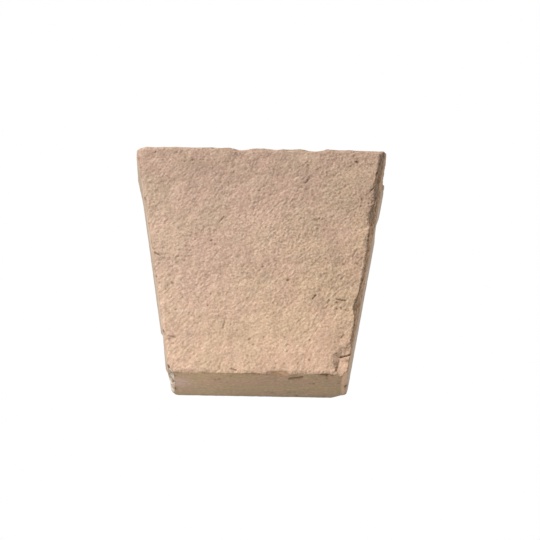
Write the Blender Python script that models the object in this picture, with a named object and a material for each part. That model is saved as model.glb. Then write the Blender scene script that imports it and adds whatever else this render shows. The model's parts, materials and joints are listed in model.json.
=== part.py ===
"""A keystone for an arch: one wedge of buff moulded stone that stands on its soffit, narrow end down.

The front is the rough face, towards -Y. The back beds on the wall, the sides are the joints with
the neighbouring stones, and every arris is worn and chipped. Metres, +Z up, origin at the middle
of the soffit.
"""

import itertools
import math
from collections import namedtuple

import bmesh
import bpy
from mathutils import Vector, noise

# Driving sizes of the whole stone.
HEIGHT = 0.279
TOP_WIDTH = 0.2845
BOTTOM_WIDTH = 0.1965
DEPTH = 0.064

# The net of points that the surface is drawn on, and its spacing. Beside an arris the cells of the
# net stay small for a band of so many cells. In the middle of a face they are joined into blocks,
# so many cells wide.
NET = 0.005
Cells = namedtuple("Cells", "band block")
FRONT_CELLS = Cells(3, 2)
PLAIN_CELLS = Cells(2, 3)

# Wear of an arris, as the width it takes from each of its two faces. It swells and fades along the
# arris over WEAR_LENGTH, by WEAR_SWING of itself.
FRONT_WEAR = 0.0018
PLAIN_WEAR = 0.0006
WEAR_SWING = 0.9
WEAR_LENGTH = 0.012

# Noise is read this far apart for one arris and the next, so that no two wear alike.
ARRIS_STEP = 3.7

# Swellings of the rough front, from broad to small: height and breadth of each kind.
FRONT_SWELLS = ((0.0014, 0.045), (0.0008, 0.016))

# The colour and finish of the stone.
STONE_COLOUR = (0.60, 0.41, 0.29, 1.0)
STONE_ROUGHNESS = 0.92

# The six faces, each with the axis that it closes: x is across, y is front to back, z is up.
AXES = "xyz"
FACES = {"left": "x", "right": "x", "front": "y", "back": "y", "soffit": "z", "top": "z"}

# A chip on an arris: the middle of it as a share of the arris, from the left, the front or the
# bottom; its length along the arris; and how deep it goes below the first and the second face.
Chip = namedtuple("Chip", "place length below_first below_second")

CHIPS = {
    ("left", "front"): (
        Chip(0.86, 0.014, 0.0035, 0.0030),
        Chip(0.74, 0.016, 0.0040, 0.0030),
        Chip(0.15, 0.020, 0.0030, 0.0045),
        Chip(0.10, 0.020, 0.0028, 0.0030),
    ),
    ("left", "back"): (
        Chip(0.045, 0.033, 0.0030, 0.0480),
        Chip(0.20, 0.036, 0.0034, 0.0480),
        Chip(0.55, 0.030, 0.0018, 0.0030),
    ),
    ("left", "soffit"): (Chip(0.45, 0.110, 0.0065, 0.0120),),
    ("right", "front"): (
        Chip(0.56, 0.270, 0.0032, 0.0080),
        Chip(0.90, 0.110, 0.0088, 0.0095),
        Chip(0.71, 0.036, 0.0092, 0.0090),
        Chip(0.59, 0.044, 0.0060, 0.0085),
        Chip(0.38, 0.040, 0.0048, 0.0080),
        Chip(0.31, 0.034, 0.0072, 0.0085),
        Chip(0.17, 0.040, 0.0034, 0.0050),
    ),
    ("right", "back"): (Chip(0.42, 0.026, 0.0030, 0.0040), Chip(0.74, 0.030, 0.0018, 0.0400)),
    ("right", "soffit"): (Chip(0.45, 0.110, 0.0065, 0.0080),),
    ("front", "soffit"): (
        Chip(0.08, 0.018, 0.0060, 0.0022),
        Chip(0.23, 0.020, 0.0060, 0.0022),
        Chip(0.62, 0.026, 0.0130, 0.0050),
        Chip(0.73, 0.020, 0.0080, 0.0026),
    ),
    ("front", "top"): (
        Chip(0.418, 0.022, 0.0085, 0.0038),
        Chip(0.549, 0.016, 0.0065, 0.0028),
        Chip(0.706, 0.026, 0.0085, 0.0038),
        Chip(0.960, 0.054, 0.0052, 0.0024),
    ),
    ("back", "top"): (Chip(0.30, 0.034, 0.0050, 0.0040),),
}

# Broken corners: how deep the break goes below each of the three faces that met there.
BROKEN_CORNERS = {
    ("left", "front", "soffit"): (0.0085, 0.0060, 0.0100),
    ("left", "back", "soffit"): (0.0085, 0.0120, 0.0065),
    ("right", "back", "soffit"): (0.0180, 0.0150, 0.0048),
    ("right", "front", "top"): (0.0085, 0.0140, 0.0115),
}

# Corners worn to a round, given in the same way.
ROUNDED_CORNERS = {("left", "front", "top"): (0.0170, 0.0260, 0.0130)}

# A flake off the skin of a face: its middle in shares across, front to back and up; its reach
# either way along the same axes; and its depth. How far the loss is felt inside the stone beside
# it, in depths of the flake, keeps the net in order.
Flake = namedtuple("Flake", "face middle reach depth")

FLAKES = (
    Flake("right", (1.0, 0.20, 1.0), (1.0, 0.0540, 0.046), 0.0024),
    Flake("right", (1.0, 1.0, 1.0), (1.0, 0.024, 0.0145), 0.0042),
    Flake("front", (1.0, 0.0, 0.05), (0.0150, 1.0, 0.021), 0.0017),
)
FLAKE_FADE = 3


def lean():
    """How far a side leans outwards on its way up, as an angle."""
    return math.atan2((TOP_WIDTH - BOTTOM_WIDTH) / 2, HEIGHT)


def half_width(share_up):
    return (BOTTOM_WIDTH + (TOP_WIDTH - BOTTOM_WIDTH) * share_up) / 2


def unworn_point(shares):
    """The point of the sharp wedge at three shares: across, front to back, and up."""
    across, back, up = shares
    return Vector(((2 * across - 1) * half_width(up), (back - 0.5) * DEPTH, up * HEIGHT))


def inward(face):
    """The unit vector from a face into the stone."""
    slope = lean()
    return {
        "left": Vector((math.cos(slope), 0, math.sin(slope))),
        "right": Vector((-math.cos(slope), 0, math.sin(slope))),
        "front": Vector((0, 1, 0)),
        "back": Vector((0, -1, 0)),
        "soffit": Vector((0, 0, 1)),
        "top": Vector((0, 0, -1)),
    }[face]


def depth_below(face, point):
    """How deep a point lies below one face of the sharp wedge."""
    middle = {
        "left": (0, 0.5, 0.5),
        "right": (1, 0.5, 0.5),
        "front": (0.5, 0, 0.5),
        "back": (0.5, 1, 0.5),
        "soffit": (0.5, 0.5, 0),
        "top": (0.5, 0.5, 1),
    }[face]
    return (point - unworn_point(middle)).dot(inward(face))


def arrises():
    """Every pair of faces that meet, in the order of FACES."""
    return [pair for pair in itertools.combinations(FACES, 2) if FACES[pair[0]] != FACES[pair[1]]]


def axis_of(face):
    """The number of the axis that a face closes."""
    return AXES.index(FACES[face])


def run_axis(arris):
    """The number of the axis that an arris runs along."""
    return next(number for number, axis in enumerate(AXES) if axis not in map(FACES.get, arris))


def arris_length(arris):
    if "left" in arris or "right" in arris:
        return DEPTH if run_axis(arris) == 1 else HEIGHT / math.cos(lean())
    return TOP_WIDTH if "top" in arris else BOTTOM_WIDTH


def arris_loss(arris, number, share):
    """How deep wear and chips go below the two faces of an arris, at a share of its length."""
    length = arris_length(arris)
    wear = FRONT_WEAR if "front" in arris else PLAIN_WEAR
    swing = noise.noise(Vector((share * length / WEAR_LENGTH, ARRIS_STEP * number, 0)))
    loss = [wear * (1 + WEAR_SWING * swing)] * 2
    for chip in CHIPS.get(arris, ()):
        offset = 2 * (share - chip.place) * length / chip.length
        if abs(offset) < 1:
            rise = math.sqrt(1 - offset * offset)
            loss[0] = max(loss[0], chip.below_first * rise)
            loss[1] = max(loss[1], chip.below_second * rise)
    return loss


def cut_back(point, faces, loss, roundness=1):
    """A point moved in behind a break that goes so deep below each of the faces that met there.

    The break is flat where roundness is 1, and bulges like a worn arris where it is 2.
    """
    spared = sum(depth_below(face, point) / deep for face, deep in zip(faces, loss))
    if spared >= 1:
        return point
    shift = (1 - spared) ** roundness / sum(1 / deep for deep in loss)
    if roundness == 2:
        shift *= 2 - math.sqrt(2)
    return point + sum((inward(face) for face in faces), Vector()) * shift


def flaked_point(point):
    """A point of the sharp wedge, moved in where a flake has come off beside it."""
    for flake in FLAKES:
        offset = point - unworn_point(flake.middle)
        if sum((step / reach) ** 2 for step, reach in zip(offset, flake.reach)) < 1:
            shift = max(flake.depth - depth_below(flake.face, point) / FLAKE_FADE, 0)
            axis = axis_of(flake.face)
            straight_in = Vector((0, 0, 0))
            straight_in[axis] = math.copysign(1, inward(flake.face)[axis])
            point = point + straight_in * shift
    return point


def worn_point(point, shares):
    """A point of the stone, cut back by the wear, chips and breaks of arrises and corners in turn."""
    for number, arris in enumerate(arrises()):
        point = cut_back(point, arris, arris_loss(arris, number, shares[run_axis(arris)]))
    for corner, loss in ROUNDED_CORNERS.items():
        point = cut_back(point, corner, loss, 2)
    for corner, loss in BROKEN_CORNERS.items():
        point = cut_back(point, corner, loss)
    return point


def front_swell(point):
    """How far the rough front stands in or out at a point."""
    across_and_up = Vector((point.x, 0, point.z))
    return sum(height * noise.noise(across_and_up / breadth) for height, breadth in FRONT_SWELLS)


def stone_point(shares):
    """The point of the worn stone at three shares."""
    point = unworn_point(shares)
    swell = front_swell(point) if shares[axis_of("front")] == 0 else 0
    return worn_point(flaked_point(point), shares) + Vector((0, swell, 0))


def blocks_end(count, cells):
    """The last line of the net that closes a whole block, counted from the band at the start."""
    return cells.band + cells.block * ((count - 2 * cells.band) // cells.block)


def within_block(start, run, counts):
    """Does the short edge from one place of the net along an axis lie inside a block?"""
    for axis in range(3):
        if axis == run or start[axis] not in (0, counts[axis]):
            continue
        across = 3 - axis - run
        cells = FRONT_CELLS if axis == axis_of("front") and start[axis] == 0 else PLAIN_CELLS
        in_run = cells.band <= start[run] < blocks_end(counts[run], cells)
        in_rows = cells.band < start[across] < blocks_end(counts[across], cells)
        if in_run and in_rows and (start[across] - cells.band) % cells.block:
            return True
    return False


def merge_blocks(mesh, places, counts):
    """Join the small cells in the middle of each face into blocks, which take fewer faces."""
    inner = []
    for edge in mesh.edges:
        start, end = sorted(places[vert] for vert in edge.verts)
        run = next(axis for axis in range(3) if start[axis] != end[axis])
        if within_block(start, run, counts):
            inner.append(edge)
    bmesh.ops.dissolve_edges(mesh, edges=inner, use_verts=True)


def keystone_mesh():
    """The whole stone as one closed net of points over its six faces."""
    counts = [math.ceil(size / NET) for size in (TOP_WIDTH, DEPTH, HEIGHT)]
    mesh = bmesh.new()
    verts = {}
    for place in itertools.product(*(range(count + 1) for count in counts)):
        if any(place[axis] in (0, counts[axis]) for axis in range(3)):
            shares = [place[axis] / counts[axis] for axis in range(3)]
            verts[place] = mesh.verts.new(stone_point(shares))
    for axis in range(3):
        first, second = (other for other in range(3) if other != axis)
        cells = itertools.product((0, counts[axis]), range(counts[first]), range(counts[second]))
        for end, i, j in cells:
            corners = []
            for step_i, step_j in ((0, 0), (1, 0), (1, 1), (0, 1)):
                place = [0, 0, 0]
                place[axis], place[first], place[second] = end, i + step_i, j + step_j
                corners.append(verts[tuple(place)])
            mesh.faces.new(corners)
    merge_blocks(mesh, {vert: place for place, vert in verts.items()}, counts)
    bmesh.ops.triangulate(mesh, faces=mesh.faces[:])
    bmesh.ops.recalc_face_normals(mesh, faces=mesh.faces[:])
    return mesh


def stone_material():
    material = bpy.data.materials.new("stone")
    material.use_nodes = True
    shader = material.node_tree.nodes["Principled BSDF"]
    shader.inputs["Base Color"].default_value = STONE_COLOUR
    shader.inputs["Roughness"].default_value = STONE_ROUGHNESS
    shader.inputs["Metallic"].default_value = 0.0
    material.diffuse_color = STONE_COLOUR
    return material


def main():
    for item in list(bpy.data.objects):
        bpy.data.objects.remove(item, do_unlink=True)
    mesh = keystone_mesh()
    data = bpy.data.meshes.new("keystone")
    mesh.to_mesh(data)
    mesh.free()
    data.materials.append(stone_material())
    bpy.context.collection.objects.link(bpy.data.objects.new("keystone", data))


main()
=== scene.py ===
"""A keystone of buff moulded stone: its surface, its studio and its camera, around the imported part.

Metres, +Z up. The stone's rough front faces -Y. Small marks are listed in millimetres.
"""

import json
import math
import random
from collections import namedtuple

import bmesh
import bpy
import numpy as np
from mathutils import Matrix, Vector, noise


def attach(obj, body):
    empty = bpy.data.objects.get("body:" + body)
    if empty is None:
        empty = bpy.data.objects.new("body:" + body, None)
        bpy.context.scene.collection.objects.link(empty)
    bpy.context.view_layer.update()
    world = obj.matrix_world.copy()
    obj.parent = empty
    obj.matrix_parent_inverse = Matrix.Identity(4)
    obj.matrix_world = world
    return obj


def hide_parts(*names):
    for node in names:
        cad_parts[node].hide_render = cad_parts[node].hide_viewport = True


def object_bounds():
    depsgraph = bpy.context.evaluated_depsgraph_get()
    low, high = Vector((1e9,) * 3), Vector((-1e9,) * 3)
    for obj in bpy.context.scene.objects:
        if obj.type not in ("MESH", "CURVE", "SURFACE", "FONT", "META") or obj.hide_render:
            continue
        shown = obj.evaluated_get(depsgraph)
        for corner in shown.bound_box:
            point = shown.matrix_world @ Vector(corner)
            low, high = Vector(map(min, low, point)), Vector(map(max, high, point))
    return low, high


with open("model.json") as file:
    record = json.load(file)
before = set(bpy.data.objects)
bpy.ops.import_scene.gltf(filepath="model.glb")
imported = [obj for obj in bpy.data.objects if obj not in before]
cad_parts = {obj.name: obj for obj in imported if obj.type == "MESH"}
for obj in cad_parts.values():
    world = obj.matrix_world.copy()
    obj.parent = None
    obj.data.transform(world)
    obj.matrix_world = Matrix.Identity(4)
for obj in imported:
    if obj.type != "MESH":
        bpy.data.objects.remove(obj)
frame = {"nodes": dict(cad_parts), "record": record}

CAD_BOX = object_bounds()
MM = 0.001

# The net of points on the stone before it is thinned, how many rounds of softening it gets, and the
# most triangles that are kept.
NET = 0.95 * MM
SOFTENING = 3
TRIANGLES = 192000

# A noise: how wide its bumps are in millimetres, and where in the endless noise it is taken, which
# keeps two of one size apart.
Noise = namedtuple("Noise", "size place")

# How far the middle of all bumps lies below the stone's skin, as a share of their height.
BUMP_LEVEL = 0.5

# Relief of the rough front, in millimetres. The grain is bumps of two kinds, round ones and ones
# drawn out along the brush marks, which rise to the right. The brushed ones come in patches, between
# two values of their noise. The lumps and the mottle are broader.
GRAIN_HEIGHT = 0.42
ROUND_GRAIN = Noise(2.5, 0.0)
BRUSHED_GRAIN = Noise((3.9, 3.4, 2.2), 9.0)
BRUSH_RISE = math.radians(55)
BRUSHED_PATCHES = Noise(40, 5.5)
BRUSHED_RANGE = (-0.25, 0.25)
LUMP_HEIGHT = 0.24
LUMPS = Noise(4.8, 15.0)
MOTTLE_HEIGHT = 0.38
MOTTLE = Noise(10.0, 21.0)
FINE_HEIGHT = 0.30
FINE_GRAIN = Noise(1.6, 33.0)

# How hollow the middle of the grain counts, from 0 for its tops to 1 for its hollows, and how much
# the grain and the fine grain change that. From it the front's colour takes painted shade in the
# hollows and a painted highlight on the tops.
HOLLOW_MIDDLE = 0.5
HOLLOW_GRAIN = 0.9
HOLLOW_FINE = 0.5

# The grain is calmer at the bottom of the front than further up, and livelier to the right: its
# share at each end, between which heights in metres it changes, and how much more it is for each
# metre across.
CALM, LIVELY = 0.80, 1.10
CALM_HEIGHTS = (0.02, 0.11)
LIVELIER = 0.7

# Near the top the left side stands a little further out than the wedge: how far, at what height, and
# the reach up and down and into the stone, in millimetres.
SWELL = 2.3
SWELL_HEIGHT = 266
SWELL_REACH = 20
SWELL_DEPTH = 7

# Relief of the faces that came smooth out of the mould, and of broken stone.
PLAIN_HEIGHT = 0.16
PLAIN_GRAIN = Noise(5.0, 45.0)
BROKEN_HEIGHT = 0.9
BROKEN_GRAIN = Noise(2.8, 57.0)

# Stone counts as broken, from not at all to fully, where it lies between these depths below the
# nearest face of the unworn wedge, and below the next one, in millimetres.
BROKEN_BELOW_FIRST = (0.9, 2.2)
BROKEN_BELOW_SECOND = (1.2, 2.4)

# Small losses along an arris: how deep, how long, how far into the faces they reach, how far behind
# the front they fade, and between which values of their noise they come in.
NIBBLE_HEIGHT = 0.6
NIBBLE_LENGTH = Noise(4.2, 69.0)
NIBBLE_REACH = 1.4
NIBBLE_BEHIND = 5.6
NIBBLE_RANGE = (0.0, 0.5)

# Points that are less rough, broken or near an arris than PLAIN_LIMIT are thinned first, by how much
# more than the others.
PLAIN_LIMIT = 0.4
PLAIN_WEIGHT = 100.0

# Bands of broken stone along two arrises of the front: how far the break reaches over the front at
# places along the arris, and how far behind the front it ends, all in millimetres. Its edge frays
# by RAGGED times the noises of FRAYING, and drops by LIP_DROP within LIP_REACH. The break is brown,
# and so is what lies within BAND_MARGIN of it, with a soft edge. From WIDE_BAND on, the lower break
# shows the smooth stone beside it instead.
Band = namedtuple("Band", "side behind widths")
RIGHT_BAND = Band("right_joint", 10.0, (
    (0, 2.4), (10, 1.0), (26, 1.6), (37, 1.9), (48, 3.1), (59, 2.7), (70, 3.4), (81, 6.9),
    (91, 6.0), (102, 4.5), (113, 4.1), (125, 2.6), (136, 2.3), (147, 4.1), (158, 3.7), (169, 5.6),
    (180, 5.2), (191, 8.1), (202, 7.8), (214, 5.2), (226, 6.1), (231, 4.7), (236, 8.7), (246, 9.7),
    (256, 7.7), (266, 7.1), (279, 5.8),
))
LOWER_BAND = Band("soffit", 2.6, (
    (-100, 1.2), (-89, 1.2), (-84, 2.1), (-78, 2.0), (-73, 1.2), (-60, 2.9), (-52, 1.3), (-43, 1.2),
    (-30, 1.1), (-17, 0.8), (-4, 2.0), (6, 0.9), (13, 1.4), (16, 4.0), (26, 4.2), (30, 1.6),
    (49, 1.0), (60, 1.2), (75, 2.7), (84, 1.0), (100, 1.2),
))
BAND_MARGIN = 0.5
BAND_EDGE = (0, 0.12)
LIP_DROP = 1.1
LIP_REACH = 1.1
WIDE_BAND = (2.2, 3.4)
RAGGED = 0.8
FRAYING = (Noise(2.6, 77.0), Noise(5.2, 83.0))

# The dark lip of a break is painted shade, a dark band where its step falls away from the light:
# how far within the band it comes in and goes out, in millimetres, and between which shares of the
# way behind the front it ends.
LIP_SHADE_START = (-0.3, 0.4)
LIP_SHADE_END = (0.9, 2.2)
LIP_BEHIND = (0.35, 0.75)

# Marks on the stone as the photograph's camera sees them on the plane of the front, in millimetres
# across and up from the middle of its lower arris. Those below it are on the soffit.
Pit = namedtuple("Pit", "x z radius depth")
Stroke = namedtuple("Stroke", "x z end_x end_z width depth")

PITS = (
    Pit(-137.3, 239.2, 1.7, 1.7),
    Pit(-132.4, 211.1, 1.8, 1.9),
    Pit(-122.3, 143.7, 1.4, 1.0),
    Pit(-118.2, 125.6, 1.3, 0.9),
    Pit(-51.3, 244.8, 1.4, 0.6),
    Pit(-45.9, 234.1, 1.3, 0.6),
    Pit(-118.4, 149.8, 1.1, 0.7),
    Pit(-107.9, 152.3, 1.1, 0.6),
    Pit(-93.6, 139.3, 1.0, 0.5),
    Pit(-72.3, 163.1, 1.1, 0.6),
    Pit(-83.6, 154.1, 1.0, 0.5),
    Pit(-11.1, 167.5, 1.1, 0.5),
    Pit(-24.1, 165.6, 1.1, 0.5),
    Pit(106.6, 263.2, 1.7, 1.3),
    Pit(99.5, 256.7, 1.2, 0.8),
    Pit(49.2, 236.0, 1.2, 0.7),
    Pit(40.6, 244.3, 1.2, 0.6),
    Pit(112.0, 216.4, 1.3, 0.9),
    Pit(70.7, 177.0, 1.2, 0.6),
    Pit(63.2, 178.5, 1.1, 0.5),
    Pit(60.6, 189.0, 1.1, 0.5),
    Pit(15.6, 177.0, 1.2, 0.6),
    Pit(16.1, 172.0, 1.1, 0.5),
    Pit(85.5, 160.6, 1.1, 0.6),
    Pit(93.2, 135.2, 1.3, 0.8),
    Pit(107.7, 136.0, 1.2, 0.7),
    Pit(-115.1, 116.0, 1.2, 0.7),
    Pit(-111.1, 108.9, 1.1, 0.6),
    Pit(-105.7, 49.5, 1.6, 1.2),
    Pit(-98.0, 40.5, 1.6, 0.5),
    Pit(-74.0, 69.2, 1.1, 0.6),
    Pit(-65.2, 67.8, 1.1, 0.6),
    Pit(-29.8, 65.2, 1.1, 0.5),
    Pit(31.6, 115.1, 1.7, 1.2),
    Pit(66.6, 103.7, 1.6, 0.7),
    Pit(71.5, 122.5, 1.2, 0.6),
    Pit(79.4, 116.0, 1.1, 0.6),
    Pit(86.2, 88.5, 1.3, 1.0),
    Pit(85.6, 81.3, 1.5, 1.0),
    Pit(90.8, 81.7, 1.2, 0.8),
    Pit(98.6, 78.6, 1.2, 0.7),
    Pit(56.6, 42.4, 1.2, 0.6),
    Pit(97.9, 17.9, 1.5, 0.8),
    Pit(-42.0, -7.3, 1.6, 0.7),
    Pit(75.4, -0.5, 1.6, 1.2),
    Pit(75.9, -4.7, 1.3, 0.8),
    Pit(98.2, -13.8, 1.7, 1.3),
    Pit(-98.6, 6.1, 1.8, 2.0),
    Pit(-97.6, -2.5, 1.3, 0.9),
    Pit(-93.6, -11.2, 1.5, 1.4),
    Pit(-91.4, -20.6, 1.5, 1.3),
)

STROKES = (
    Stroke(-117.9, 146.6, -111.2, 141.9, 0.9, 0.9),
    Stroke(-41.3, 191.6, -47.7, 183.0, 0.8, 0.7),
    Stroke(50.8, 237.1, 53.8, 241.7, 0.9, 0.7),
    Stroke(121.6, 225.7, 125.1, 229.6, 0.9, 0.9),
    Stroke(107.5, 154.2, 102.1, 144.2, 0.8, 0.6),
    Stroke(-99.1, 44.8, -91.6, 42.8, 0.7, 0.7),
    Stroke(-37.7, 62.4, -39.1, 55.3, 0.9, 0.6),
    Stroke(-41.4, 12.5, -42.1, 5.6, 0.8, 0.6),
    Stroke(62.8, 97.0, 59.0, 92.6, 0.9, 0.7),
    Stroke(93.3, 120.7, 90.0, 116.6, 0.9, 0.7),
    Stroke(85.7, 92.5, 95.6, 90.9, 0.8, 1.1),
    Stroke(93.6, 49.6, 90.8, 45.7, 0.9, 0.8),
    Stroke(90.4, 22.0, 103.2, 26.1, 1.0, 1.3),
    Stroke(89.1, 18.4, 86.3, 6.3, 0.9, 0.8),
    Stroke(-28.5, 6.2, -23.6, 4.7, 0.9, 0.8),
    Stroke(34.6, -5.4, 49.4, -2.9, 1.0, 1.3),
    Stroke(-94.1, -0.2, -91.6, -4.2, 1.1, 1.0),
)

# How much narrower or wider the noise of broken stone makes the marks, so that their edges fray.
MARK_FRAYING = 0.6

# Soft patches of the front that are paler or darker: the middle and the reach either way, in
# millimetres, and how much.
TonePatch = namedtuple("TonePatch", "x z across up tone")
TONE_PATCHES = (
    TonePatch(-47, 247, 9, 10, -0.08),
    TonePatch(-78, 237, 38, 25, -0.05),
    TonePatch(105, 261, 22, 17, 0.10),
    TonePatch(51, 235, 6, 23, -0.08),
    TonePatch(86, 210, 18, 9, -0.06),
    TonePatch(73, 171, 8, 20, -0.07),
    TonePatch(84, 125, 9, 27, -0.09),
    TonePatch(93, 90, 10, 9, -0.08),
    TonePatch(109, 177, 9, 25, 0.07),
    TonePatch(-116, 183, 7, 15, 0.08),
    TonePatch(-107, 121, 7, 10, 0.09),
    TonePatch(-104, 87, 7, 9, 0.08),
    TonePatch(-94, 28, 10, 10, 0.07),
    TonePatch(19, 33, 19, 12, 0.07),
    TonePatch(-80, 146, 7, 27, -0.05),
    TonePatch(-68, 85, 10, 12, -0.05),
    TonePatch(35, 172, 15, 22, 0.05),
    TonePatch(-3, 213, 12, 25, 0.035),
    TonePatch(45, 115, 11, 12, 0.045),
    TonePatch(10, 130, 27, 10, -0.035),
    TonePatch(-4, 263, 9, 7, 0.05),
    TonePatch(-56, 8, 22, 5, -0.08),
    TonePatch(-29, 269, 8, 7, -0.06),
    TonePatch(91, 33, 9, 14, -0.08),
    TonePatch(-100, 232, 34, 30, -0.02),
    TonePatch(80, 240, 50, 25, 0.025),
    TonePatch(76, 60, 24, 45, -0.02),
)

# The whole front darkens by TONE_FALL for each metre up and by TONE_DRIFT for each metre to the
# right, and has clouds, each a noise with its strength. It is warmest towards the bottom right:
# WARM_RANGE is metres across and down from the middle.
TONE_FALL = 1.32
TONE_DRIFT = 0.45
CLOUDS = ((Noise(40.0, 91.0), 0.04), (Noise(22.0, 91.0), 0.06), (Noise(8.0, 91.0), 0.065))
WARM_RANGE = (-0.12, 0.16)

# The soffit is paler to either side: the side, from where to where in millimetres from the middle,
# and how much. It has level clouds.
SOFFIT_ENDS = ((-1, (15, 65), 0.10), (1, (20, 75), 0.045))
SOFFIT_CLOUDS = (
    (Noise((22.0, 9.0, 9.0), 101.0), 0.07),
    (Noise((8.0, 4.0, 4.0), 101.0), 0.08),
)

# The rosy patch on the left of the soffit: its middle and its reach, across and back, in millimetres.
ROSY_PATCH = ((-85, -6), (11, 14))

# How far the chips of the left half have weathered back to the colour of the face around them, and
# between which distances to the left of the middle that comes in, in millimetres.
OLD_CHIPS = 0.55
OLD_CHIPS_ACROSS = (0, 40)

# Below these heights in millimetres the broken corners are cream on the left and orange on the
# right, and this far from the middle those colours come in.
CORNER_HEIGHTS = (22, 36)
CREAM_ACROSS = (40, 80)
ORANGE_ACROSS = (78, 90)

# How squarely a point faces one way before it looks as that way does, from not at all to fully:
# how much of its normal points there.
FRONT_FACING = (0.45, 0.85)
NEARLY_FRONT_FACING = (0.2, 0.6)
CAMERA_FACING = (0.05, 0.35)
UNDER_FACING = (0.5, 0.8)
TOP_FACING = (0.35, 0.75)
FLAKED_FACING = (0.5, 0.85)
ARRIS_FACING = (0.15, 0.55)
JOINT_FACING = (0.6, 0.85)

# How much of the joints' colour the back and the top take.
BACK_JOINT = 0.8
TOP_JOINT = 0.7

# Dirt and painted shade as a share of their colour, the dirt made uneven by drift, which is noises with
# their strengths. There is dirt on the top. The soffit is darker towards its back, and darkest within
# BACK_EDGE_SHADE of its back edge, in millimetres, where painted shade marks its rounding turning away
# from the light. The right side has dirt where flakes have come off, from one depth in millimetres to
# another, towards the top from one share of the stone's height to another.
DRIFT = ((Noise(14.0, 113.0), 1.0), (Noise(5.0, 117.0), 0.6))
TOP_DIRT = 0.22
TOP_DRIFT = 0.14
SOFFIT_DARKENING = 0.30
SOFFIT_DARKENING_BACK = (-20, 32)
BACK_EDGE_SHADE = 2.4
FLAKE_DIRT = 0.35
FLAKE_DEPTHS = (0.6, 2.6)
FLAKE_DEPTH_DRIFT = 0.5
FLAKE_HEIGHTS = (0.68, 0.88)
FLAKE_HEIGHT_DRIFT = 0.05

# Pinholes: how many for each PINHOLE_AREA of a face in square millimetres, their sizes, how far they
# are drawn out along the brush marks, and the seed of their places. Past PINHOLE_SPAN times its
# radius a pinhole is nothing.
Pinholes = namedtuple("Pinholes", "share radius depth streak seed")
FRONT_PINHOLES = Pinholes(16, (0.7, 1.2), (0.25, 0.7), 1.6, 3)
PLAIN_PINHOLES = Pinholes(7, (0.9, 1.7), (0.4, 1.0), 0.0, 8)
PINHOLE_AREA = 10000
PINHOLE_SPAN = 3

# The camera of the photograph, from the picture's own 540 pixels: how many of them a metre takes at
# the stone, and where the middle of the stone shows. Its distance is in metres and its sensor's
# width in millimetres, and the lens follows from both.
FRAME_PIXELS = 540
PIXELS_PER_METRE = 893.8
STONE_PIXEL = (260.32, 271.30)
CAMERA_DISTANCE = 4.0
CAMERA_AZIMUTH = math.radians(0.6)
CAMERA_ELEVATION = math.radians(-25.1)
CAMERA_ROLL = math.radians(1.27)
SENSOR = 36.0


def mounts():
    """The middle and the outward direction of each flat face of the stone before wear."""
    found = {}
    for mount in frame["record"]["mounts"]:
        found[mount["name"]] = (Vector(mount["pos_m"]), Vector(mount["axis"]))
    back, outward = found["back"]
    found["front"] = (Vector((back.x, -back.y, back.z)), -outward)
    return found


FACES = mounts()
HEIGHT = FACES["top"][0].z
DEPTH = FACES["back"][0].y - FACES["front"][0].y


def depths(points):
    """How deep each point lies below each face of the unworn stone."""
    return {name: -(points - np.array(at)) @ np.array(out) for name, (at, out) in FACES.items()}


def noise_at(points, size, place):
    """Smooth noise from -1 to 1 at each point, with bumps about as wide as size, in millimetres."""
    scaled = points / (np.array(size) * MM) + place
    return np.array([noise.noise(point) for point in scaled.tolist()])


def ramp(values, low, high):
    """A smooth step from 0 at low to 1 at high."""
    share = np.clip((values - low) / (high - low), 0, 1)
    return share * share * (3 - 2 * share)


def along_brush(points):
    """The points turned about the line from front to back, so that x runs along the brush marks."""
    turn = Matrix.Rotation(-BRUSH_RISE, 3, "Y").inverted()
    return points @ np.array(turn).T


def net_of_points(node):
    """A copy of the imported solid's mesh as one fine, even net."""
    piece = bpy.data.objects.new("keystone_stone", node.data.copy())
    bpy.context.scene.collection.objects.link(piece)
    remesh = piece.modifiers.new("net", "REMESH")
    remesh.mode = "VOXEL"
    remesh.voxel_size = NET
    softening = piece.modifiers.new("softening", "SMOOTH")
    softening.iterations = SOFTENING
    return bake_modifiers(piece)


def bake_modifiers(piece):
    """The piece with its modifiers made part of its mesh."""
    depsgraph = bpy.context.evaluated_depsgraph_get()
    mesh = bpy.data.meshes.new_from_object(piece.evaluated_get(depsgraph))
    piece.modifiers.clear()
    old = piece.data
    piece.data = mesh
    bpy.data.meshes.remove(old)
    return piece


def points_of(mesh):
    """Where each point of the mesh is."""
    points = np.empty((len(mesh.vertices), 3))
    mesh.vertices.foreach_get("co", points.reshape(-1))
    return points


def normals_of(mesh):
    """Which way each point of the mesh faces."""
    normals = np.empty((len(mesh.vertices), 3))
    mesh.vertices.foreach_get("normal", normals.reshape(-1))
    return normals


def seen_places(points):
    """Where the photograph's camera sees each point on the plane of the front, in millimetres."""
    behind = points[:, 1] + DEPTH / 2
    across = points[:, 0] + behind * math.tan(CAMERA_AZIMUTH)
    up = points[:, 2] + behind * math.tan(CAMERA_ELEVATION)
    return np.stack((across, up), axis=1) / MM


def distance_to_stroke(places, stroke):
    """How far each place lies from a stroke, in millimetres."""
    start = np.array((stroke.x, stroke.z))
    run = np.array((stroke.end_x, stroke.end_z)) - start
    offset = places - start
    share = np.clip(offset @ run / (run @ run), 0, 1)
    return np.linalg.norm(offset - share[:, None] * run, axis=1)


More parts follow.
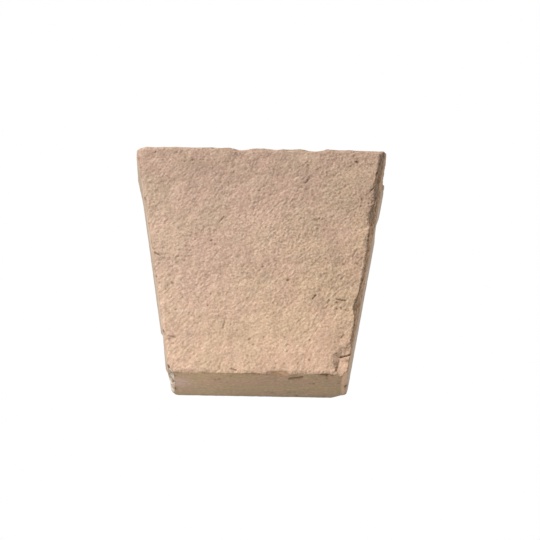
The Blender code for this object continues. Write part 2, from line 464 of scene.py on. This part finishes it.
def front_marks(points, fraying):
    """How deep the pits and strokes go at each point of the front, in millimetres."""
    places = seen_places(points)
    spread = 1 + MARK_FRAYING * fraying
    marks = np.zeros(len(points))
    for pit in PITS:
        away = np.linalg.norm(places - np.array((pit.x, pit.z)), axis=1) * spread
        marks = np.maximum(marks, pit.depth * np.exp(-((away / pit.radius) ** 2)))
    for stroke in STROKES:
        away = distance_to_stroke(places, stroke) * spread
        marks = np.maximum(marks, stroke.depth * np.exp(-((away / stroke.width) ** 2)))
    return marks


def bumps(height, values):
    """How deep the stone lies below its skin where noise makes bumps of a height."""
    return height * (BUMP_LEVEL - values)


def break_band(points, below, along, band, fraying):
    """Cut the band of broken stone off the arris of the front and a side.

    Returns where it is broken, where its lip is painted with shade, and its width in millimetres.
    """
    ats, widths = np.array(band.widths).T
    width = np.interp(along / MM, ats, widths) + RAGGED * fraying
    over_front = np.maximum(width, RAGGED / 2) * MM
    behind = band.behind * MM
    from_side, from_front = below[band.side], below["front"]
    spared = from_side / over_front + from_front / behind
    shift = np.clip(1 - spared, 0, 1) / (1 / over_front + 1 / behind)
    points += shift[:, None] * (-np.array(FACES[band.side][1]) - np.array(FACES["front"][1]))
    within = (over_front - from_side - shift) / MM
    skin = 1 - ramp((from_front + shift) / behind, *LIP_BEHIND)
    points[:, 1] += LIP_DROP * MM * ramp(within, 0, LIP_REACH) * skin * (shift > 0)
    # The lip's painted shade: dark just inside the break's edge, where its step falls in shade.
    lip = skin * ramp(within, *LIP_SHADE_START) * (1 - ramp(within, *LIP_SHADE_END))
    margin = BAND_MARGIN * MM
    inside = 1 - from_side / (over_front + margin) - from_front / (behind + margin)
    return ramp(inside, *BAND_EDGE), lip, width


def break_arrises(points, below):
    """Break the right and the lower arris of the front.

    Returns where the front is lost, where broken stone shows, and where the lips are painted with shade.
    """
    fraying = sum(noise_at(points, *kind) for kind in FRAYING)
    right, right_lip, _ = break_band(points, below, points[:, 2], RIGHT_BAND, fraying)
    lower, lower_lip, width = break_band(points, below, points[:, 0], LOWER_BAND, fraying)
    shown = np.maximum(right, lower * (1 - ramp(width, *WIDE_BAND)))
    return np.maximum(right, lower), shown, np.maximum(right_lip, lower_lip)


def swell(points, below):
    """Let the left side stand out near the top."""
    up = (points[:, 2] / MM - SWELL_HEIGHT) / SWELL_REACH
    inwards = below["left_joint"] / (SWELL_DEPTH * MM)
    points[:, 0] -= SWELL * MM * np.exp(-(up**2) - np.maximum(inwards, 0))


def liveliness(points):
    """How strong the grain of the front is at each point."""
    share = CALM + (LIVELY - CALM) * ramp(points[:, 2], *CALM_HEIGHTS)
    return share * (1 + LIVELIER * points[:, 0])


def front_tone(points):
    """How pale the front is at each point, with its soft patches and clouds."""
    tone = 1 + TONE_FALL * (HEIGHT / 2 - points[:, 2]) - TONE_DRIFT * points[:, 0]
    for kind, strength in CLOUDS:
        tone += strength * noise_at(points, *kind)
    for spot in TONE_PATCHES:
        across = (points[:, 0] / MM - spot.x) / spot.across
        up = (points[:, 2] / MM - spot.z) / spot.up
        tone += spot.tone * np.exp(-(across**2) - up**2)
    return tone


def soffit_tone(points):
    """How pale the soffit is at each point: paler to either side, with level clouds."""
    tone = np.ones(len(points))
    for side, reach, paler in SOFFIT_ENDS:
        tone += paler * ramp(side * points[:, 0] / MM, *reach)
    for kind, strength in SOFFIT_CLOUDS:
        tone += strength * noise_at(points, *kind)
    return tone


def warmth(points):
    """How warm the front is at each point, from the top left to the bottom right."""
    return ramp(points[:, 0] + HEIGHT / 2 - points[:, 2], *WARM_RANGE)


def rosiness(points, under):
    """Where the soffit is rosy."""
    (x, y), (across, back) = ROSY_PATCH
    patch = ((points[:, 0] / MM - x) / across) ** 2 + ((points[:, 1] / MM - y) / back) ** 2
    return np.exp(-(patch**2)) * under


def joint_share(normals):
    """Where the stone has the drier colour of its joints: at the sides, and partly behind and above."""
    aside = ramp(np.abs(normals[:, 0]), *JOINT_FACING)
    behind = BACK_JOINT * ramp(normals[:, 1], *JOINT_FACING)
    above = TOP_JOINT * ramp(normals[:, 2], *JOINT_FACING)
    return np.maximum(aside, np.maximum(behind, above))


def grime_and_shade(points, normals, below, under):
    """Where the stone is darker: dirt on the top and the flaked right side, and the back of the soffit,
    with painted shade along the soffit's back edge.
    """
    drift = sum(strength * noise_at(points, *kind) for kind, strength in DRIFT)
    top = (TOP_DIRT + TOP_DRIFT * drift) * ramp(normals[:, 2], *TOP_FACING)
    # Painted shade along the soffit's back edge, where its rounding turns away from the light.
    edge_shade = np.exp(-below["back"] / (BACK_EDGE_SHADE * MM))
    soffit = under * (SOFFIT_DARKENING * ramp(points[:, 1] / MM, *SOFFIT_DARKENING_BACK) + edge_shade)
    flaked = ramp(below["right_joint"] / MM + FLAKE_DEPTH_DRIFT * drift, *FLAKE_DEPTHS)
    flaked *= ramp(normals[:, 0], *FLAKED_FACING)
    flaked *= FLAKE_DIRT * ramp(points[:, 2] / HEIGHT + FLAKE_HEIGHT_DRIFT * drift, *FLAKE_HEIGHTS)
    return np.clip(np.maximum(np.maximum(top, soffit), flaked), 0, 1)


def pinholes(points, mask, kind):
    """How deep scattered pinholes go at each point where the mask is above a half."""
    draw = random.Random(kind.seed)
    places = points[mask > 0.5]
    marks = np.zeros(len(points))
    area = len(places) * (NET / MM) ** 2
    direction = np.array((math.cos(BRUSH_RISE), 0, math.sin(BRUSH_RISE)))
    for _ in range(int(kind.share * area / PINHOLE_AREA)):
        middle = places[draw.randrange(len(places))]
        reach = draw.uniform(*kind.radius)
        depth = draw.uniform(*kind.depth)
        streak = draw.uniform(0, kind.streak) / 2
        span = (streak + PINHOLE_SPAN * reach) * MM
        near = np.flatnonzero(np.abs(points - middle).max(axis=1) < span)
        offset = (points[near] - middle) / MM
        run = np.clip(offset @ direction, -streak, streak)
        away = np.linalg.norm(offset - run[:, None] * direction, axis=1)
        marks[near] = np.maximum(marks[near], depth * np.exp(-((away / reach) ** 2)))
    return marks


def all_marks(points, normals, front, fraying):
    """How deep the front's own marks and the scattered pinholes go at each point, in millimetres."""
    to_camera = np.array((0, -math.cos(CAMERA_ELEVATION), math.sin(CAMERA_ELEVATION)))
    marks = front_marks(points, fraying) * ramp(normals @ to_camera, *CAMERA_FACING)
    marks = np.maximum(marks, pinholes(points, front, FRONT_PINHOLES))
    off_front = 1 - ramp(-normals[:, 1], *NEARLY_FRONT_FACING)
    return np.maximum(marks, pinholes(points, off_front, PLAIN_PINHOLES))


def rough_relief(points, lively):
    """How deep the rough front lies below its skin, and how hollow its grain is from 0 to 1."""
    brushed = ramp(noise_at(points, *BRUSHED_PATCHES), *BRUSHED_RANGE)
    round_grain = noise_at(points, *ROUND_GRAIN)
    brushed_grain = noise_at(along_brush(points), *BRUSHED_GRAIN)
    grain = round_grain + (brushed_grain - round_grain) * brushed
    fine = noise_at(points, *FINE_GRAIN)
    rough = bumps(GRAIN_HEIGHT, grain) + bumps(FINE_HEIGHT, fine)
    lumps = bumps(LUMP_HEIGHT, noise_at(points, *LUMPS))
    rough += lumps + bumps(MOTTLE_HEIGHT, noise_at(points, *MOTTLE))
    hollow = np.clip(HOLLOW_MIDDLE - HOLLOW_GRAIN * grain - HOLLOW_FINE * fine, 0, 1)
    return rough * lively, hollow


def weather(piece):
    """Give the stone its relief, all of it inwards, and keep what its material needs to know."""
    mesh = piece.data
    points = points_of(mesh)
    normals = normals_of(mesh)
    below = depths(points)
    first, second = np.sort(np.array(list(below.values())), axis=0)[:2] / MM
    arris = np.exp(-second / NIBBLE_REACH)
    front = ramp(-normals[:, 1], *FRONT_FACING)
    broken = ramp(first, *BROKEN_BELOW_FIRST) * ramp(second, *BROKEN_BELOW_SECOND) * (1 - front)
    lost, opened, lip = break_arrises(points, below)
    front = front * (1 - lost)
    broken = np.maximum(broken, opened)

    lively = liveliness(points)
    rough, hollow = rough_relief(points, lively)
    smooth = bumps(PLAIN_HEIGHT, noise_at(points, *PLAIN_GRAIN))
    ragged = noise_at(points, *BROKEN_GRAIN)
    nibble = ramp(noise_at(points, *NIBBLE_LENGTH), *NIBBLE_RANGE)
    loss = smooth + (rough - smooth) * front
    loss += bumps(broken * BROKEN_HEIGHT, ragged)
    loss += arris * nibble * NIBBLE_HEIGHT * np.exp(-below["front"] / (NIBBLE_BEHIND * MM))
    marks = all_marks(points, normals, front, ragged)
    points -= normals * (np.maximum(loss, 0) + marks)[:, None] * MM
    swell(points, below)
    mesh.vertices.foreach_set("co", points.reshape(-1))

    kept = looks(points, normals, below, front, broken)
    # The pit value is painted shade: the pits, strokes and pinholes are darker the deeper they go.
    kept.update(front=front, lip=lip, lively=lively, hollow=hollow, pit=np.clip(marks, 0, 1))
    keep_values(mesh, kept)
    group = piece.vertex_groups.new(name="plain")
    plain = np.flatnonzero(np.maximum(np.maximum(front, broken), arris) < PLAIN_LIMIT)
    group.add(plain.tolist(), 1.0, "REPLACE")


def looks(points, normals, below, front, broken):
    """What the material needs to know of the colour at each point of the worn stone."""
    across = points[:, 0] / MM
    under = ramp(-normals[:, 2], *UNDER_FACING)
    corner = 1 - ramp(points[:, 2] / MM, *CORNER_HEIGHTS)
    old_chips = ramp(-across, *OLD_CHIPS_ACROSS) * (1 - corner)
    return {
        "tone": 1 + (front_tone(points) - 1) * front + (soffit_tone(points) - 1) * under,
        # Painted shade: the rounded arris between the front and the left side is greyed darker.
        "arris_shade": ramp(-normals[:, 0], *ARRIS_FACING) * ramp(-normals[:, 1], *ARRIS_FACING),
        "warm": warmth(points),
        "rosy": rosiness(points, under),
        "broken": broken * (1 - OLD_CHIPS * old_chips),
        "pale": ramp(-across, *CREAM_ACROSS) * corner * broken,
        "orange": ramp(across, *ORANGE_ACROSS) * corner,
        "joint": joint_share(normals),
        "grime_and_shade": grime_and_shade(points, normals, below, under),
    }


def keep_values(mesh, kept):
    """Keep named numbers at each point of the mesh, for the material."""
    for name, values in kept.items():
        attribute = mesh.attributes.new(name, "FLOAT", "POINT")
        attribute.data.foreach_set("value", values.astype(np.float32))


def thin_out(piece):
    """Take triangles out of the plain faces first, until few enough are left."""
    thinning = piece.modifiers.new("thinning", "DECIMATE")
    thinning.ratio = min(1, TRIANGLES / (2 * len(piece.data.polygons)))
    thinning.vertex_group = "plain"
    thinning.vertex_group_factor = PLAIN_WEIGHT
    thinning.use_collapse_triangulate = True
    bake_modifiers(piece)
    piece.data.shade_smooth()


def keep_inside(piece):
    """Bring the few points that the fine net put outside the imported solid's box back to it."""
    points = np.clip(points_of(piece.data), *(np.array(corner) for corner in CAD_BOX))
    piece.data.vertices.foreach_set("co", points.reshape(-1))
    piece.data.update()


# How strongly a surface mirrors the light, on the shader's scale from 0 to 1.
SPECULAR = 0.25


def look(name, roughness):
    """A new material, with its node tree and its shader."""
    material = bpy.data.materials.new(name)
    material.use_nodes = True
    tree = material.node_tree
    shader = tree.nodes["Principled BSDF"]
    shader.inputs["Roughness"].default_value = roughness
    shader.inputs["Specular IOR Level"].default_value = SPECULAR
    return material, tree, shader


def value_of(tree, name):
    """A number kept at each point of the mesh."""
    node = tree.nodes.new("ShaderNodeAttribute")
    node.attribute_name = name
    return node.outputs["Fac"]


def pattern(tree, size, detail, stretch=(1, 1, 1)):
    """Noise from 0 to 1 in the stone's own space, with patches about as wide as size in mm."""
    place = tree.nodes.new("ShaderNodeTexCoord")
    mapping = tree.nodes.new("ShaderNodeMapping")
    mapping.inputs["Scale"].default_value = stretch
    texture = tree.nodes.new("ShaderNodeTexNoise")
    texture.inputs["Scale"].default_value = 1 / (size * MM)
    texture.inputs["Detail"].default_value = detail
    tree.links.new(place.outputs["Object"], mapping.inputs["Vector"])
    tree.links.new(mapping.outputs["Vector"], texture.inputs["Vector"])
    return texture.outputs["Fac"]


def steps(tree, value, low, high, to_low=0.0, to_high=1.0):
    """A value run from one range to another, and held at the ends."""
    node = tree.nodes.new("ShaderNodeMapRange")
    node.interpolation_type = "SMOOTHSTEP"
    for name, number in (("From Min", low), ("From Max", high), ("To Min", to_low), ("To Max", to_high)):
        node.inputs[name].default_value = number
    tree.links.new(value, node.inputs["Value"])
    return node.outputs["Result"]


def feed(tree, source, socket):
    """Give a socket what another socket says, or a number, or a colour of three numbers."""
    if isinstance(source, bpy.types.NodeSocket):
        tree.links.new(source, socket)
    elif isinstance(source, tuple):
        socket.default_value = (*source, 1.0)
    else:
        socket.default_value = source


# A Mix node's sockets for colours, by number, because its names come more than once.
MIX_SHARE, MIX_FIRST, MIX_SECOND = 0, 6, 7
MIX_RESULT = 2


def mixed(tree, share, first, second, kind="MIX"):
    """Two colours mixed by a share."""
    node = tree.nodes.new("ShaderNodeMix")
    node.data_type = "RGBA"
    node.blend_type = kind
    for place, source in ((MIX_SHARE, share), (MIX_FIRST, first), (MIX_SECOND, second)):
        feed(tree, source, node.inputs[place])
    return node.outputs[MIX_RESULT]


def combined(tree, first, second, operation="MULTIPLY"):
    """Two numbers multiplied, or put together by another operation."""
    node = tree.nodes.new("ShaderNodeMath")
    node.operation = operation
    for socket, source in zip(node.inputs, (first, second)):
        feed(tree, source, socket)
    return node.outputs[0]


# Patches of one colour in another: their size in millimetres, their detail, between which values of
# the noise they come in, and the most of the second colour that shows. LEVEL draws them out from
# side to side.
Patches = namedtuple("Patches", "size detail low high most", defaults=(1.0,))
FRONT_PATCHES = Patches(40, 2, 0.35, 0.65)
GREY_PATCHES = Patches(17, 2, 0.50, 0.75, 0.35)
MOULD_PATCHES = Patches(26, 2, 0.42, 0.60)
GREEN_STREAKS = Patches(5, 3, 0.44, 0.66, 0.75)
JOINT_PATCHES = Patches(24, 4, 0.36, 0.64)
BROWN_PATCHES = Patches(6, 3, 0.42, 0.60)
CREAM_PATCHES = Patches(5.5, 2, 0.42, 0.60)
CREAM_FLECKS = Patches(2.6, 2, 0.54, 0.66, 0.85)
LEVEL = (0.18, 1, 1)

# Grains of colour, and for the hollows of the relief painted shade in them and a painted highlight on
# the tops: between which values the dark ones come in and the pale ones go out, and the most of each
# that shows.
Grains = namedtuple("Grains", "dark most_dark pale most_pale")
HOLLOW_SHADE_AND_HIGHLIGHT = Grains((0.55, 1.0), 0.34, (0.0, 0.45), 0.34)
SPECKLE_GRAINS = Grains((0.50, 0.72), 0.36, (0.28, 0.48), 0.32)
DUST_GRAINS = Grains((0.48, 0.70), 0.36, (0.28, 0.46), 0.26)
GRIT_GRAINS = Grains((0.56, 0.78), 0.45, (0.22, 0.42), 0.45)

# The size in millimetres and the detail of the finer patterns.
SPECKLE = (2.0, 1)
DUST = (3.5, 3)
GRIT = (0.8, 2)

# The material's own fine bumps: their pattern, their strength and their depth in millimetres.
BUMP_PATTERN = (1.1, 3)
BUMP_STRENGTH = 0.6
BUMP_DEPTH = 0.35

# Colours of the stone, as linear red, green and blue.
PINK_BUFF = (0.666, 0.446, 0.343)
STRAW_BUFF = (0.642, 0.454, 0.328)
GREY_BUFF = (0.566, 0.425, 0.330)
WARMTH = (1.0, 0.985, 0.915)
SMOOTH_BUFF = (0.535, 0.370, 0.220)
SMOOTH_PINK = (0.535, 0.345, 0.236)
SMOOTH_GREEN = (0.440, 0.350, 0.207)
SMOOTH_ROSE = (0.565, 0.400, 0.320)
JOINT_BUFF = (0.650, 0.510, 0.395)
JOINT_SHADE = (0.590, 0.440, 0.325)
BROWN = (0.600, 0.375, 0.225)
ORANGE_BROWN = (0.800, 0.515, 0.325)
CORNER_ORANGE = (0.860, 0.555, 0.350)
# Painted shade along the lips of the breaks.
LIP_SHADE_BROWN = (0.330, 0.200, 0.120)
CREAM = (0.960, 0.860, 0.720)
CREAM_SHADE = (0.580, 0.460, 0.345)
CREAM_SPECK = (0.330, 0.250, 0.185)
# Dirt, and painted shade along the soffit's back edge.
DIRT_AND_SHADE = (0.235, 0.190, 0.152)
# The dark and the pale grain also serve as painted shade in the hollows and a painted highlight on the
# tops.
DARK_GRAIN_AND_SHADE = (0.34, 0.225, 0.150)
PALE_GRAIN_AND_HIGHLIGHT = (0.88, 0.70, 0.54)
# Painted shade in the pits, strokes and pinholes.
PIT_SHADE = (0.17, 0.095, 0.055)
# Painted shade greying the arris between the front and the left side.
ARRIS_SHADE_GREY = (0.84, 0.84, 0.86)
STONE_ROUGHNESS = 0.92

# How much of each layer's colour shows at most, over the stone's own colour.
LAYER_SHARES = {"broken": 0.9, "lip": 0.75, "grime_and_shade": 0.9, "pit": 0.9}


def patched(tree, patches, first, second, stretch=(1, 1, 1)):
    """Two colours mixed in patches."""
    value = pattern(tree, patches.size, patches.detail, stretch)
    share = steps(tree, value, patches.low, patches.high, 0, patches.most)
    return mixed(tree, share, first, second)


def grained_and_shaded(tree, colour, value, grains, strength=1.0):
    """A colour with dark grains where a value is high and pale ones where it is low. Fed how hollow the
    relief is, the dark ones are painted shade and the pale ones a painted highlight.
    """
    dark = steps(tree, value, *grains.dark, 0, grains.most_dark)
    pale = steps(tree, value, *grains.pale, grains.most_pale, 0)
    for share, grain in ((dark, DARK_GRAIN_AND_SHADE), (pale, PALE_GRAIN_AND_HIGHLIGHT)):
        colour = mixed(tree, combined(tree, share, strength), colour, grain)
    return colour


def front_colour(tree):
    """The rough front: straw and pink patches, mottled and finely grained, with painted shade in the
    hollows of its relief and a painted highlight on its tops.
    """
    colour = patched(tree, FRONT_PATCHES, STRAW_BUFF, PINK_BUFF)
    colour = patched(tree, GREY_PATCHES, colour, GREY_BUFF)
    # Painted shade in the hollows of the relief and a painted highlight on its tops.
    colour = grained_and_shaded(tree, colour, value_of(tree, "hollow"), HOLLOW_SHADE_AND_HIGHLIGHT)
    lively = value_of(tree, "lively")
    colour = grained_and_shaded(tree, colour, pattern(tree, *SPECKLE), SPECKLE_GRAINS, lively)
    return mixed(tree, value_of(tree, "warm"), colour, WARMTH, "MULTIPLY")


def smooth_colour(tree):
    """The moulded faces: faint level streaks of pink and green, and drier clouds on the joints."""
    colour = patched(tree, MOULD_PATCHES, SMOOTH_BUFF, SMOOTH_PINK, LEVEL)
    colour = patched(tree, GREEN_STREAKS, colour, SMOOTH_GREEN, LEVEL)
    colour = mixed(tree, value_of(tree, "rosy"), colour, SMOOTH_ROSE)
    joint = patched(tree, JOINT_PATCHES, JOINT_SHADE, JOINT_BUFF)
    colour = mixed(tree, value_of(tree, "joint"), colour, joint)
    return grained_and_shaded(tree, colour, pattern(tree, *DUST), DUST_GRAINS)


def broken_colour(tree):
    """Broken stone: brown, with an orange corner on the right and a cream one on the left."""
    brown = patched(tree, BROWN_PATCHES, BROWN, ORANGE_BROWN)
    brown = mixed(tree, value_of(tree, "orange"), brown, CORNER_ORANGE)
    cream = patched(tree, CREAM_PATCHES, CREAM, CREAM_SHADE)
    cream = patched(tree, CREAM_FLECKS, cream, CREAM_SPECK)
    return mixed(tree, value_of(tree, "pale"), brown, cream)


def stone_look():
    """The stone's one material, which follows what the mesh says of each point."""
    material, tree, shader = look("moulded_stone", STONE_ROUGHNESS)
    colour = mixed(tree, value_of(tree, "front"), smooth_colour(tree), front_colour(tree))
    colour = mixed(tree, 1.0, colour, value_of(tree, "tone"), "MULTIPLY")
    # Painted shade greys the arris between the front and the left side.
    colour = mixed(tree, value_of(tree, "arris_shade"), colour, ARRIS_SHADE_GREY, "MULTIPLY")
    colour = grained_and_shaded(tree, colour, pattern(tree, *GRIT), GRIT_GRAINS)
    # The lip and pit layers are painted shade, and the grime layer is dirt with painted shade along the
    # soffit's back edge.
    layers = {"broken": broken_colour(tree), "lip": LIP_SHADE_BROWN, "grime_and_shade": DIRT_AND_SHADE, "pit": PIT_SHADE}
    for name, layer in layers.items():
        share = combined(tree, value_of(tree, name), LAYER_SHARES[name])
        colour = mixed(tree, share, colour, layer)
    tree.links.new(colour, shader.inputs["Base Color"])
    bump = tree.nodes.new("ShaderNodeBump")
    bump.inputs["Strength"].default_value = BUMP_STRENGTH
    bump.inputs["Distance"].default_value = BUMP_DEPTH * MM
    tree.links.new(pattern(tree, *BUMP_PATTERN), bump.inputs["Height"])
    tree.links.new(bump.outputs["Normal"], shader.inputs["Normal"])
    return material


# The studio: a floor that is seen from above only, a pale room and four soft lamps. The floor fades
# into the room between two distances from the stone. Places and sizes are in metres.
FLOOR_SIZE = 6.0
FLOOR_FADE = (0.7, 2.2)
FLOOR_GAP = 0.5 * MM
FLOOR_COLOUR = (0.80, 0.79, 0.78, 1.0)
FLOOR_ROUGHNESS = 0.9
ROOM_LIGHT = 0.25
Lamp = namedtuple("Lamp", "name place size watts colour")
LAMPS = (
    Lamp("key", (-3.70, -3.50, 3.90), 2.0, 500.0, (1.0, 0.99, 0.975)),
    Lamp("low_fill", (-0.23, -0.02, -0.52), 0.3, 1.6, (1.0, 0.985, 0.96)),
    Lamp("right_fill", (3.0, 1.5, 0.4), 1.4, 50.0, (0.98, 0.99, 1.0)),
    Lamp("back_fill", (0.0, 2.4, 0.9), 1.4, 16.0, (0.98, 0.99, 1.0)),
)


def stage_floor():
    """A pale floor just under the stone. It isn't there from below, where the camera looks up."""
    mesh = bmesh.new()
    bmesh.ops.create_grid(mesh, x_segments=1, y_segments=1, size=FLOOR_SIZE / 2)
    data = bpy.data.meshes.new("floor")
    mesh.to_mesh(data)
    mesh.free()
    floor = bpy.data.objects.new("floor", data)
    bpy.context.scene.collection.objects.link(floor)
    floor.location.z = -FLOOR_GAP
    data.materials.append(floor_look())

    # It neither shades the stone nor throws light up at it.
    floor.visible_diffuse = False
    floor.visible_glossy = False
    floor.visible_transmission = False
    floor.visible_shadow = False


def floor_look():
    """The floor's material: clear from below, and clearer away from the stone."""
    material, tree, shader = look("floor", FLOOR_ROUGHNESS)
    shader.inputs["Base Color"].default_value = FLOOR_COLOUR
    side = tree.nodes.new("ShaderNodeNewGeometry")
    place = tree.nodes.new("ShaderNodeTexCoord")
    away = tree.nodes.new("ShaderNodeVectorMath")
    away.operation = "LENGTH"
    tree.links.new(place.outputs["Object"], away.inputs[0])
    faded = steps(tree, away.outputs["Value"], *FLOOR_FADE)
    clear = tree.nodes.new("ShaderNodeBsdfTransparent")
    choice = tree.nodes.new("ShaderNodeMixShader")
    share, shown, hidden = choice.inputs
    tree.links.new(combined(tree, faded, side.outputs["Backfacing"], "MAXIMUM"), share)
    tree.links.new(shader.outputs["BSDF"], shown)
    tree.links.new(clear.outputs["BSDF"], hidden)
    tree.links.new(choice.outputs["Shader"], tree.nodes["Material Output"].inputs["Surface"])
    return material


def room():
    """A white surround that lights the stone only a little."""
    world = bpy.data.worlds.new("room")
    bpy.context.scene.world = world
    world.use_nodes = True
    tree = world.node_tree
    background = tree.nodes["Background"]
    background.inputs["Color"].default_value = (1.0, 1.0, 1.0, 1.0)
    rays = tree.nodes.new("ShaderNodeLightPath")
    strength = tree.nodes.new("ShaderNodeMapRange")
    strength.inputs["To Min"].default_value = ROOM_LIGHT
    strength.inputs["To Max"].default_value = 1.0
    tree.links.new(rays.outputs["Is Camera Ray"], strength.inputs["Value"])
    tree.links.new(strength.outputs["Result"], background.inputs["Strength"])
    bpy.context.scene.view_settings.view_transform = "Standard"
    bpy.context.scene.view_settings.look = "None"


def lamps():
    """Soft square lamps, all turned to the middle of the stone."""
    for lamp in LAMPS:
        light = bpy.data.lights.new(lamp.name, "AREA")
        light.shape = "SQUARE"
        light.size = lamp.size
        light.energy = lamp.watts
        light.color = lamp.colour
        shown = bpy.data.objects.new(lamp.name, light)
        bpy.context.scene.collection.objects.link(shown)
        shown.visible_camera = False
        shown.location = lamp.place
        aim = Vector((0, 0, HEIGHT / 2)) - shown.location
        shown.rotation_mode = "QUATERNION"
        shown.rotation_quaternion = aim.to_track_quat("-Z", "Y")


def camera():
    """The photograph's camera: it looks up at the stone, and leans a little to one side."""
    azimuth, elevation = CAMERA_AZIMUTH, CAMERA_ELEVATION
    level = math.cos(elevation)
    back = Vector((math.sin(azimuth) * level, -math.cos(azimuth) * level, math.sin(elevation)))
    right = Vector((math.cos(azimuth), math.sin(azimuth), 0))
    up = back.cross(right)
    lean, upright = math.sin(CAMERA_ROLL), math.cos(CAMERA_ROLL)
    right, up = right * upright + up * lean, up * upright - right * lean

    stone = Vector((0, 0, HEIGHT / 2))
    place = stone + back * CAMERA_DISTANCE
    across = (FRAME_PIXELS / 2 - STONE_PIXEL[0]) / PIXELS_PER_METRE
    down = (FRAME_PIXELS / 2 - STONE_PIXEL[1]) / PIXELS_PER_METRE
    aim = stone + right * across - up * down
    back = (place - aim).normalized()
    right = (right - back * right.dot(back)).normalized()
    up = back.cross(right)

    data = bpy.data.cameras.new("camera")
    data.sensor_width = SENSOR
    data.lens = SENSOR * PIXELS_PER_METRE * CAMERA_DISTANCE / FRAME_PIXELS
    shown = bpy.data.objects.new("camera", data)
    bpy.context.scene.collection.objects.link(shown)
    turned = Matrix((right, up, back)).transposed()
    shown.matrix_world = Matrix.Translation(place) @ turned.to_4x4()
    bpy.context.scene.camera = shown


def stone():
    """The worn stone, in place of the plain solid."""
    piece = net_of_points(frame["nodes"]["keystone"])
    weather(piece)
    thin_out(piece)
    keep_inside(piece)
    piece.data.materials.clear()
    piece.data.materials.append(stone_look())
    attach(piece, "root")
    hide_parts("keystone")


camera()
stone()
stage_floor()
room()
lamps()
